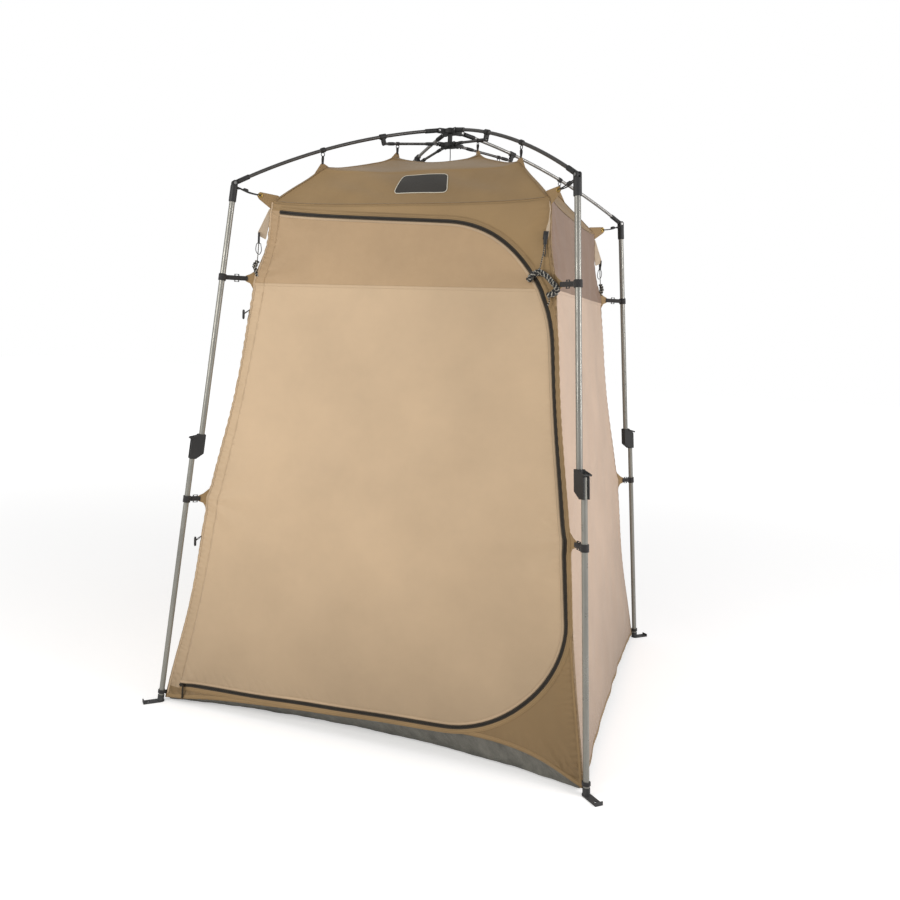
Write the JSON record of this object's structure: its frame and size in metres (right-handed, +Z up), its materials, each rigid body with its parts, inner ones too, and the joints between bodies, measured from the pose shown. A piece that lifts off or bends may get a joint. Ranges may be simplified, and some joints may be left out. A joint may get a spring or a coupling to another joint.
{
  "type": "privacy shower tent",
  "caption": "Free-standing square privacy shower tent: folding ribs and sliding legs, leaning fabric walls, open roof bands and a curved zip door.",
  "frame": {"origin": "on the ground at the middle of the tent", "axes": "+Z up, the door faces -Y, +X to the right of someone who faces the door"},
  "size_m": [1.6262, 1.6262, 2.155],
  "materials": {
    "leg_tube": "satin",
    "rib_tube": "semi-gloss",
    "moulding": "fine texture",
    "foot_plate": "matte",
    "rivet": "plain",
    "wall_fabric": "coated plain weave",
    "door_fabric": "coated plain weave",
    "floor_fabric": "coated woven sheet",
    "zip_metal": "semi-gloss"
  },
  "bodies": {
    "tent": {"floor_sheet": "floor_fabric", "front_wall": "wall_fabric", "right_wall": "wall_fabric", "back_wall": "wall_fabric", "left_wall": "wall_fabric", "roof_bands": "wall_fabric"},
    "hub": {"upper_hub": "moulding", "hub_pins": "rivet"},
    "lower_hub": {"lower_hub": "moulding"},
    "front_left_rib_arm": {"front_left_rib": "rib_tube", "front_left_rib_ends": "moulding", "front_left_rib_bracket": "moulding"},
    "front_left_strut_arm": {"front_left_strut": "rib_tube"},
    "front_left_leg": {"front_left_corner_cap": "moulding", "front_left_corner_pin": "rivet", "front_left_upper_leg": "leg_tube", "front_left_slide_housing": "moulding"},
    "front_left_lever": {"front_left_lock_lever": "moulding"},
    "front_left_lower_leg": {"front_left_leg_end_cap": "moulding", "front_left_lower_leg": "leg_tube", "front_left_foot": "foot_plate"},
    "front_right_rib_arm": {"front_right_rib": "rib_tube", "front_right_rib_ends": "moulding", "front_right_rib_bracket": "moulding"},
    "front_right_strut_arm": {"front_right_strut": "rib_tube"},
    "front_right_leg": {"front_right_corner_cap": "moulding", "front_right_corner_pin": "rivet", "front_right_upper_leg": "leg_tube", "front_right_slide_housing": "moulding"},
    "front_right_lever": {"front_right_lock_lever": "moulding"},
    "front_right_lower_leg": {"front_right_leg_end_cap": "moulding", "front_right_lower_leg": "leg_tube", "front_right_foot": "foot_plate"},
    "back_left_rib_arm": {"back_left_rib": "rib_tube", "back_left_rib_ends": "moulding", "back_left_rib_bracket": "moulding"},
    "back_left_strut_arm": {"back_left_strut": "rib_tube"},
    "back_left_leg": {"back_left_corner_cap": "moulding", "back_left_corner_pin": "rivet", "back_left_upper_leg": "leg_tube", "back_left_slide_housing": "moulding"},
    "back_left_lever": {"back_left_lock_lever": "moulding"},
    "back_left_lower_leg": {"back_left_leg_end_cap": "moulding", "back_left_lower_leg": "leg_tube", "back_left_foot": "foot_plate"},
    "back_right_rib_arm": {"back_right_rib": "rib_tube", "back_right_rib_ends": "moulding", "back_right_rib_bracket": "moulding"},
    "back_right_strut_arm": {"back_right_strut": "rib_tube"},
    "back_right_leg": {"back_right_corner_cap": "moulding", "back_right_corner_pin": "rivet", "back_right_upper_leg": "leg_tube", "back_right_slide_housing": "moulding"},
    "back_right_lever": {"back_right_lock_lever": "moulding"},
    "back_right_lower_leg": {"back_right_leg_end_cap": "moulding", "back_right_lower_leg": "leg_tube", "back_right_foot": "foot_plate"},
    "door": {"door_panel": "door_fabric"},
    "zip_slider": {"zipper_slider": "zip_metal"},
    "zip_pull": {"zipper_pull": "zip_metal"}
  },
  "joints": [
    {"name": "hub_rise", "type": "slide", "parent": "tent", "child": "hub", "axis": [0, 0, 1], "range_m": [0, 0.6]},
    {"name": "lower_hub_slide", "type": "slide", "parent": "hub", "child": "lower_hub", "axis": [0, 0, 1], "range_m": [-0.45, 0]},
    {"name": "frame_fold", "type": "hinge", "parent": "hub", "child": "front_left_rib_arm", "pos_m": [-0.03535, -0.03535, 2.14], "axis": [0.7071, -0.7071, 0], "range_deg": [0, 68], "deforming": ["floor_sheet", "front_wall", "right_wall", "back_wall", "left_wall", "roof_bands", "door_panel"]},
    {"name": "front_left_strut_fold", "type": "hinge", "parent": "front_left_rib_arm", "child": "front_left_strut_arm", "pos_m": [-0.19673, -0.19673, 2.06227], "axis": [-0.7071, 0.7071, 0], "range_deg": [0, 163.3]},
    {"name": "front_left_leg_fold", "type": "hinge", "parent": "front_left_rib_arm", "child": "front_left_leg", "pos_m": [-0.5975, -0.5975, 1.86], "axis": [-0.7071, 0.7071, 0], "range_deg": [0, 62.7]},
    {"name": "front_left_leg_slide", "type": "slide", "parent": "front_left_leg", "child": "front_left_lower_leg", "axis": [0.0779, 0.0779, 0.9939], "range_m": [0, 0.69]},
    {"name": "front_left_lock_lever_turn", "type": "hinge", "parent": "front_left_leg", "child": "front_left_lever", "pos_m": [-0.6755, -0.6755, 0.9647], "axis": [-0.7071, 0.7071, 0], "range_deg": [0, 46]},
    {"name": "front_right_rib_fold", "type": "hinge", "parent": "hub", "child": "front_right_rib_arm", "pos_m": [0.03535, -0.03535, 2.14], "axis": [0.7071, 0.7071, 0], "range_deg": [0, 69]},
    {"name": "front_right_strut_fold", "type": "hinge", "parent": "front_right_rib_arm", "child": "front_right_strut_arm", "pos_m": [0.19673, -0.19673, 2.06227], "axis": [-0.7071, -0.7071, 0], "range_deg": [0, 163.3]},
    {"name": "front_right_leg_fold", "type": "hinge", "parent": "front_right_rib_arm", "child": "front_right_leg", "pos_m": [0.5975, -0.5975, 1.86], "axis": [-0.7071, -0.7071, 0], "range_deg": [0, 62.7]},
    {"name": "front_right_leg_slide", "type": "slide", "parent": "front_right_leg", "child": "front_right_lower_leg", "axis": [-0.0779, 0.0779, 0.9939], "range_m": [0, 0.69]},
    {"name": "front_right_lock_lever_turn", "type": "hinge", "parent": "front_right_leg", "child": "front_right_lever", "pos_m": [0.6755, -0.6755, 0.9647], "axis": [-0.7071, -0.7071, 0], "range_deg": [0, 46]},
    {"name": "back_left_rib_fold", "type": "hinge", "parent": "hub", "child": "back_left_rib_arm", "pos_m": [-0.03535, 0.03535, 2.14], "axis": [-0.7071, -0.7071, 0], "range_deg": [0, 69]},
    {"name": "back_left_strut_fold", "type": "hinge", "parent": "back_left_rib_arm", "child": "back_left_strut_arm", "pos_m": [-0.19673, 0.19673, 2.06227], "axis": [0.7071, 0.7071, 0], "range_deg": [0, 163.3]},
    {"name": "back_left_leg_fold", "type": "hinge", "parent": "back_left_rib_arm", "child": "back_left_leg", "pos_m": [-0.5975, 0.5975, 1.86], "axis": [0.7071, 0.7071, 0], "range_deg": [0, 62.7]},
    {"name": "back_left_leg_slide", "type": "slide", "parent": "back_left_leg", "child": "back_left_lower_leg", "axis": [0.0779, -0.0779, 0.9939], "range_m": [0, 0.69]},
    {"name": "back_left_lock_lever_turn", "type": "hinge", "parent": "back_left_leg", "child": "back_left_lever", "pos_m": [-0.6755, 0.6755, 0.9647], "axis": [0.7071, 0.7071, 0], "range_deg": [0, 46]},
    {"name": "back_right_rib_fold", "type": "hinge", "parent": "hub", "child": "back_right_rib_arm", "pos_m": [0.03535, 0.03535, 2.14], "axis": [-0.7071, 0.7071, 0], "range_deg": [0, 69]},
    {"name": "back_right_strut_fold", "type": "hinge", "parent": "back_right_rib_arm", "child": "back_right_strut_arm", "pos_m": [0.19673, 0.19673, 2.06227], "axis": [0.7071, -0.7071, 0], "range_deg": [0, 163.3]},
    {"name": "back_right_leg_fold", "type": "hinge", "parent": "back_right_rib_arm", "child": "back_right_leg", "pos_m": [0.5975, 0.5975, 1.86], "axis": [0.7071, -0.7071, 0], "range_deg": [0, 62.7]},
    {"name": "back_right_leg_slide", "type": "slide", "parent": "back_right_leg", "child": "back_right_lower_leg", "axis": [-0.0779, -0.0779, 0.9939], "range_m": [0, 0.69]},
    {"name": "back_right_lock_lever_turn", "type": "hinge", "parent": "back_right_leg", "child": "back_right_lever", "pos_m": [0.6755, 0.6755, 0.9647], "axis": [0.7071, -0.7071, 0], "range_deg": [0, 46]},
    {"name": "door_swing", "type": "hinge", "parent": "front_left_leg", "child": "door", "pos_m": [-0.69, -0.74062, 0.068], "axis": [-0.1316, -0.1355, -0.982], "range_deg": [0, 100]},
    {"name": "zipper_run", "type": "slide", "parent": "door", "child": "zip_slider", "axis": [0.999, 0.0061, 0.0444], "range_m": [0, 0.9]},
    {"name": "zipper_pull_swing", "type": "hinge", "parent": "zip_slider", "child": "zip_pull", "pos_m": [-0.67402, -0.74844, 0.0698], "axis": [-0.999, -0.0061, -0.0444], "range_deg": [0, 120]}
  ],
  "couplings": [
    {"joint": "hub_rise", "follows": "frame_fold", "m_per_rad": 0.48532},
    {"joint": "lower_hub_slide", "follows": "frame_fold", "m_per_rad": -0.35313},
    {"joint": "front_left_strut_fold", "follows": "frame_fold", "ratio": 2.3725},
    {"joint": "front_left_leg_fold", "follows": "frame_fold", "ratio": 0.90699},
    {"joint": "front_right_rib_fold", "follows": "frame_fold", "ratio": 1},
    {"joint": "front_right_strut_fold", "follows": "frame_fold", "ratio": 2.3725},
    {"joint": "front_right_leg_fold", "follows": "frame_fold", "ratio": 0.90699},
    {"joint": "back_left_rib_fold", "follows": "frame_fold", "ratio": 1},
    {"joint": "back_left_strut_fold", "follows": "frame_fold", "ratio": 2.3725},
    {"joint": "back_left_leg_fold", "follows": "frame_fold", "ratio": 0.90699},
    {"joint": "back_right_rib_fold", "follows": "frame_fold", "ratio": 1},
    {"joint": "back_right_strut_fold", "follows": "frame_fold", "ratio": 2.3725},
    {"joint": "back_right_leg_fold", "follows": "frame_fold", "ratio": 0.90699}
  ]
}
